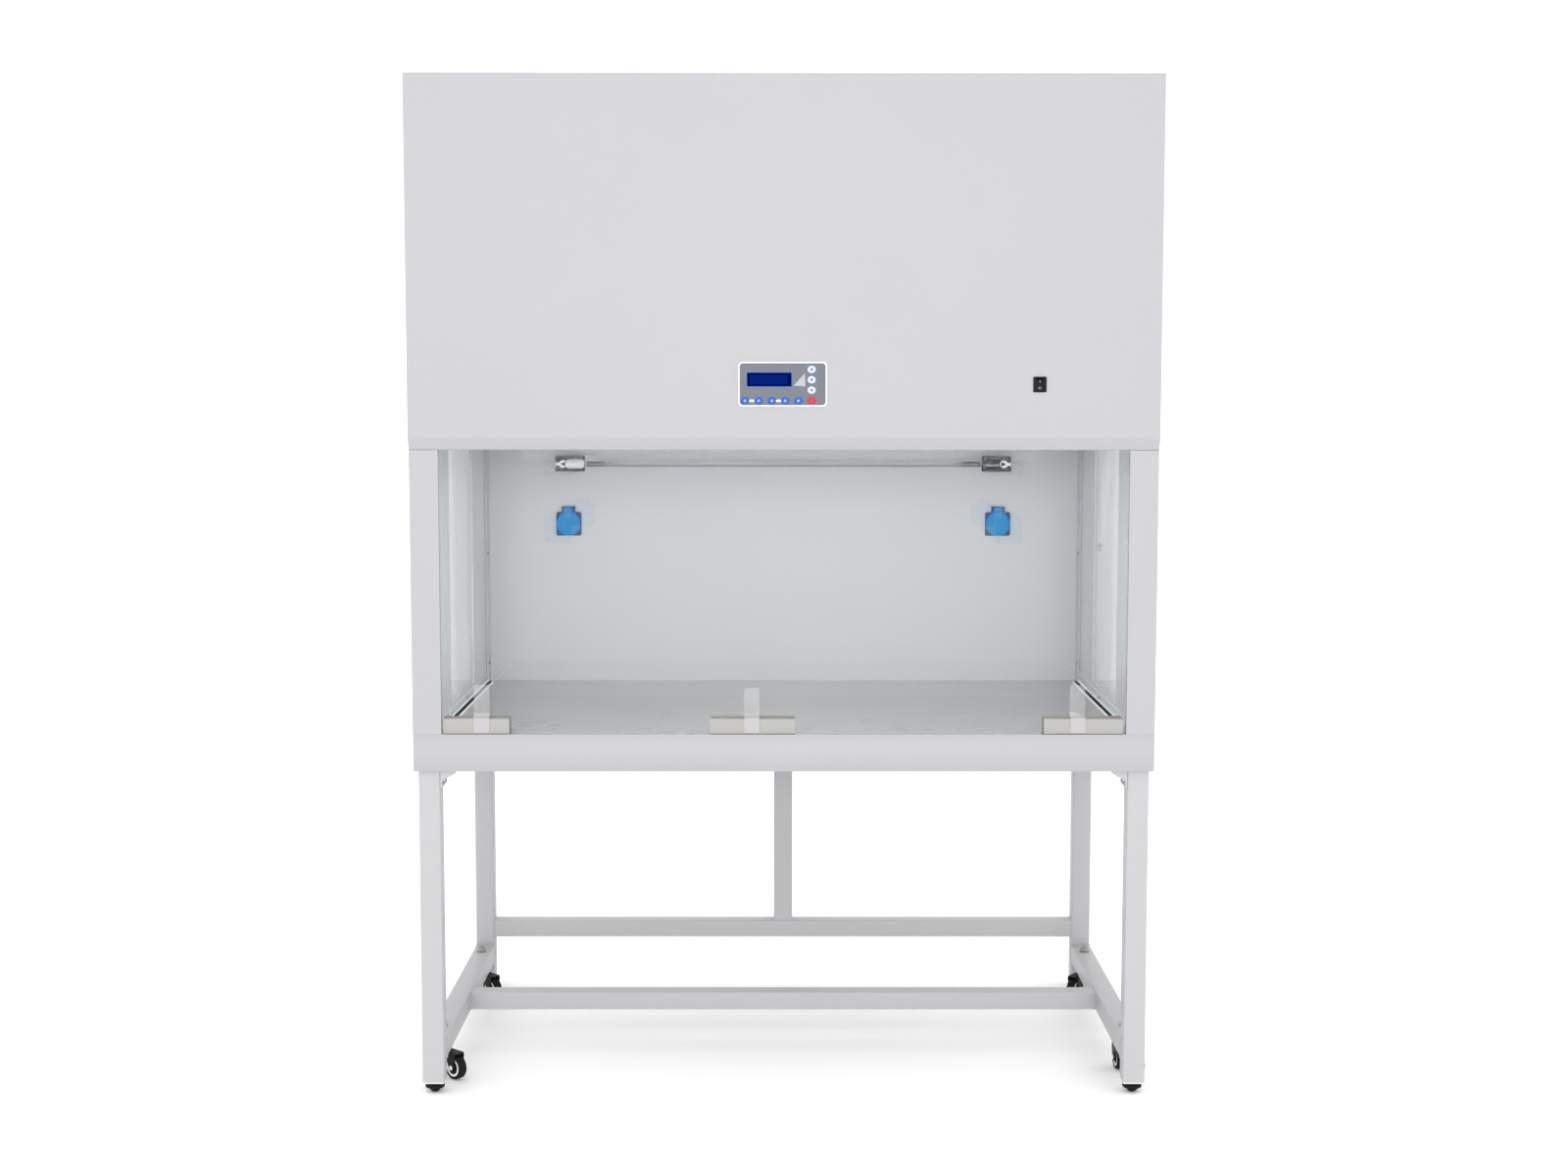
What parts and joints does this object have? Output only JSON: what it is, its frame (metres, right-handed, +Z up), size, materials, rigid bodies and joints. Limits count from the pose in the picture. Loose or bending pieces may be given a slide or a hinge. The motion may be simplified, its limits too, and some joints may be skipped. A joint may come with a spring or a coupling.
{
  "type": "fume hood",
  "caption": "Ductless laboratory hood with a glazed work chamber, sliding glass front, overhead blower and filter, and an open tube stand with casters and levelling feet.",
  "frame": {"origin": "on the floor under the middle of the whole object", "axes": "+Z up, +X to the right seen from the front, +Y from the front panel towards the back"},
  "size_m": [1.36, 0.809, 1.869],
  "materials": {
    "white_paint": "smooth powder coat",
    "frame_paint": "smooth powder coat",
    "wall_paint": "satin paint",
    "stainless": "polished",
    "galvanised": "dull zinc",
    "zinc_steel": "bright zinc",
    "guide_metal": "anodised",
    "motor_metal": "cast",
    "chrome_clip": "bright",
    "clear_glass": "clear",
    "lamp_glass": "clear quartz",
    "clear_tape": "gloss",
    "foam": "soft foam",
    "filter_media": "matt",
    "black_rubber": "matt",
    "caster_tyre": "matt",
    "black_plastic": "satin",
    "white_plastic": "satin",
    "grey_plastic": "satin",
    "blue_plastic": "gloss",
    "display": "gloss",
    "key_white": "gloss",
    "key_blue": "gloss",
    "key_red": "gloss"
  },
  "bodies": {
    "cabinet": {"back_wall": "wall_paint", "base_tray": "white_paint", "blower_housing": "galvanised", "blower_motor": "motor_metal", "body_screws": "zinc_steel", "caster_stems": "zinc_steel", "control_box": "galvanised", "control_panel": "grey_plastic", "cross_rails": "frame_paint", "diffuser": "white_paint", "fascia": "white_paint", "gussets": "frame_paint", "hood_back": "white_paint", "hood_sides": "white_paint", "hood_top": "white_paint", "lamp_holders": "chrome_clip", "lamp_tube": "lamp_glass", "lcd_screen": "display", "leg_inserts": "white_plastic", "legs": "frame_paint", "main_filter": "filter_media", "plenum": "galvanised", "power_inlet": "black_plastic", "prefilter": "filter_media", "rear_post": "frame_paint", "sash_guides": "guide_metal", "side_rails": "frame_paint", "side_seals": "black_rubber", "side_walls": "white_paint", "side_windows": "clear_glass", "socket_bodies": "blue_plastic", "stand_fasteners": "zinc_steel", "switch_housing": "black_plastic", "worktop": "stainless"},
    "foot_front_left": {"foot_front_left": "black_rubber"},
    "fork_front_left": {"caster_fork_front_left": "black_plastic"},
    "wheel_front_left": {"caster_wheel_front_left": "caster_tyre"},
    "foot_front_right": {"foot_front_right": "black_rubber"},
    "fork_front_right": {"caster_fork_front_right": "black_plastic"},
    "wheel_front_right": {"caster_wheel_front_right": "caster_tyre"},
    "foot_rear_left": {"foot_rear_left": "black_rubber"},
    "fork_rear_left": {"caster_fork_rear_left": "black_plastic"},
    "wheel_rear_left": {"caster_wheel_rear_left": "caster_tyre"},
    "foot_rear_right": {"foot_rear_right": "black_rubber"},
    "fork_rear_right": {"caster_fork_rear_right": "black_plastic"},
    "wheel_rear_right": {"caster_wheel_rear_right": "caster_tyre"},
    "sash": {"sash_glass": "clear_glass", "transit_pads": "foam", "transit_tapes": "clear_tape"},
    "impeller": {"impeller": "galvanised"},
    "socket_lid_left": {"socket_lid_left": "blue_plastic"},
    "socket_lid_right": {"socket_lid_right": "blue_plastic"},
    "rocker": {"rocker": "black_plastic"},
    "key_up": {"key_up": "key_white"},
    "key_middle": {"key_middle": "key_white"},
    "key_down": {"key_down": "key_white"},
    "key_stop": {"key_stop": "key_red"},
    "key_light": {"key_light": "key_blue"},
    "key_pair_fan": {"key_pair_fan": "key_blue"},
    "key_pair_timer": {"key_pair_timer": "key_blue"}
  },
  "joints": [
    {"name": "foot_front_left_screw", "type": "slide", "parent": "cabinet", "child": "foot_front_left", "axis": [0, 0, 1], "range_m": [-0.018, 0.0025]},
    {"name": "fork_front_left_swivel", "type": "hinge", "parent": "cabinet", "child": "fork_front_left", "pos_m": [-0.652, -0.266, 0.05], "axis": [0, 0, 1], "continuous": true},
    {"name": "wheel_front_left_spin", "type": "hinge", "parent": "fork_front_left", "child": "wheel_front_left", "pos_m": [-0.62376, -0.29143, 0.024], "axis": [0.6691, 0.7431, 0], "continuous": true},
    {"name": "foot_front_right_screw", "type": "slide", "parent": "cabinet", "child": "foot_front_right", "axis": [0, 0, 1], "range_m": [-0.018, 0.0025]},
    {"name": "fork_front_right_swivel", "type": "hinge", "parent": "cabinet", "child": "fork_front_right", "pos_m": [0.652, -0.266, 0.05], "axis": [0, 0, 1], "continuous": true},
    {"name": "wheel_front_right_spin", "type": "hinge", "parent": "fork_front_right", "child": "wheel_front_right", "pos_m": [0.64869, -0.22814, 0.024], "axis": [-0.9962, -0.0872, 0], "continuous": true},
    {"name": "foot_rear_left_screw", "type": "slide", "parent": "cabinet", "child": "foot_rear_left", "axis": [0, 0, 1], "range_m": [-0.018, 0.0025]},
    {"name": "fork_rear_left_swivel", "type": "hinge", "parent": "cabinet", "child": "fork_rear_left", "pos_m": [-0.652, 0.289, 0.05], "axis": [0, 0, 1], "continuous": true},
    {"name": "wheel_rear_left_spin", "type": "hinge", "parent": "fork_rear_left", "child": "wheel_rear_left", "pos_m": [-0.6256, 0.26166, 0.024], "axis": [0.7193, 0.6947, 0], "continuous": true},
    {"name": "foot_rear_right_screw", "type": "slide", "parent": "cabinet", "child": "foot_rear_right", "axis": [0, 0, 1], "range_m": [-0.018, 0.0025]},
    {"name": "fork_rear_right_swivel", "type": "hinge", "parent": "cabinet", "child": "fork_rear_right", "pos_m": [0.652, 0.289, 0.05], "axis": [0, 0, 1], "continuous": true},
    {"name": "wheel_rear_right_spin", "type": "hinge", "parent": "fork_rear_right", "child": "wheel_rear_right", "pos_m": [0.6286, 0.25906, 0.024], "axis": [0.788, -0.6157, 0], "continuous": true},
    {"name": "sash_slide", "type": "slide", "parent": "cabinet", "child": "sash", "axis": [0, 0, 1], "range_m": [0, 0.45]},
    {"name": "impeller_spin", "type": "hinge", "parent": "cabinet", "child": "impeller", "pos_m": [0, 0.02, 1.5624], "axis": [1, 0, 0], "continuous": true},
    {"name": "socket_lid_left_hinge", "type": "hinge", "parent": "cabinet", "child": "socket_lid_left", "pos_m": [-0.4633, 0.36, 1.052], "axis": [-1, 0, 0], "range_deg": [0, 100], "stiffness_Nm_per_rad": 0.02, "springref_deg": -28.65},
    {"name": "socket_lid_right_hinge", "type": "hinge", "parent": "cabinet", "child": "socket_lid_right", "pos_m": [0.4633, 0.36, 1.052], "axis": [-1, 0, 0], "range_deg": [0, 100], "stiffness_Nm_per_rad": 0.02, "springref_deg": -28.65},
    {"name": "rocker_switch", "type": "hinge", "parent": "cabinet", "child": "rocker", "pos_m": [0.4609, -0.39691, 1.3172], "axis": [1, 0, 0], "range_deg": [-14, 0]},
    {"name": "key_up_press", "type": "slide", "parent": "cabinet", "child": "key_up", "axis": [0, 1, 0], "range_m": [0, 0.0005], "stiffness_N_per_m": 800, "springref_m": -0.0002},
    {"name": "key_middle_press", "type": "slide", "parent": "cabinet", "child": "key_middle", "axis": [0, 1, 0], "range_m": [0, 0.0005], "stiffness_N_per_m": 800, "springref_m": -0.0002},
    {"name": "key_down_press", "type": "slide", "parent": "cabinet", "child": "key_down", "axis": [0, 1, 0], "range_m": [0, 0.0005], "stiffness_N_per_m": 800, "springref_m": -0.0002},
    {"name": "key_stop_press", "type": "slide", "parent": "cabinet", "child": "key_stop", "axis": [0, 1, 0], "range_m": [0, 0.0005], "stiffness_N_per_m": 800, "springref_m": -0.0002},
    {"name": "key_light_press", "type": "slide", "parent": "cabinet", "child": "key_light", "axis": [0, 1, 0], "range_m": [0, 0.0005], "stiffness_N_per_m": 800, "springref_m": -0.0002},
    {"name": "key_pair_fan_rock", "type": "hinge", "parent": "cabinet", "child": "key_pair_fan", "pos_m": [-0.0584, -0.3988, 1.2876], "axis": [0, 0, 1], "range_deg": [-1.6, 1.6], "stiffness_Nm_per_rad": 0.2},
    {"name": "key_pair_timer_rock", "type": "hinge", "parent": "cabinet", "child": "key_pair_timer", "pos_m": [-0.01015, -0.3988, 1.2876], "axis": [0, 0, 1], "range_deg": [-1.6, 1.6], "stiffness_Nm_per_rad": 0.2}
  ]
}
